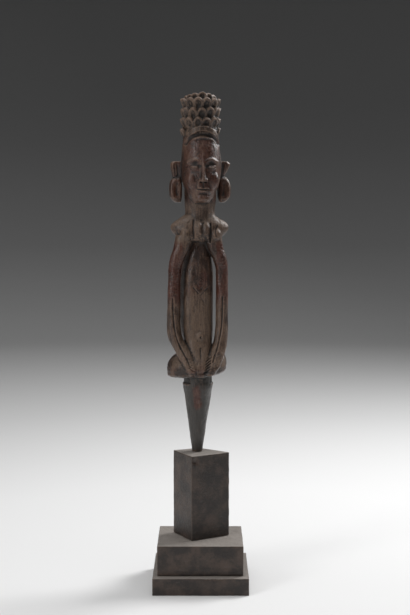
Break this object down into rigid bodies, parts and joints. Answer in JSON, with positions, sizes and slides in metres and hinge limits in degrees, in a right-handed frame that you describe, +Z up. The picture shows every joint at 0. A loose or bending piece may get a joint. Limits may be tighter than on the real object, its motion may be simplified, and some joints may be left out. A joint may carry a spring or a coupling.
{
  "type": "carved figure pole on stand",
  "caption": "Slender carved wooden standing figure with long free arms and a tall scaled coiffure, ending in a tapered peg that stands on a stepped wooden base.",
  "frame": {"origin": "centre of the plinth's underside", "axes": "+Z up, the figure faces -Y turned six degrees towards +X, +X to the viewer's right from the front"},
  "size_m": [0.116, 0.107, 0.5999],
  "materials": {
    "carved_wood": "dark brown carved hardwood with a glossy worn patina, reddish where rubbed and grey with dust in the hollows",
    "stand_wood": "dark stained wood blocks, satin and finely wrinkled, with pale dust on the level faces and rubbed edges"
  },
  "bodies": {
    "root": {"figure": "carved_wood", "pillar_block": "stand_wood", "step_block": "stand_wood", "plinth": "stand_wood"}
  },
  "joints": []
}
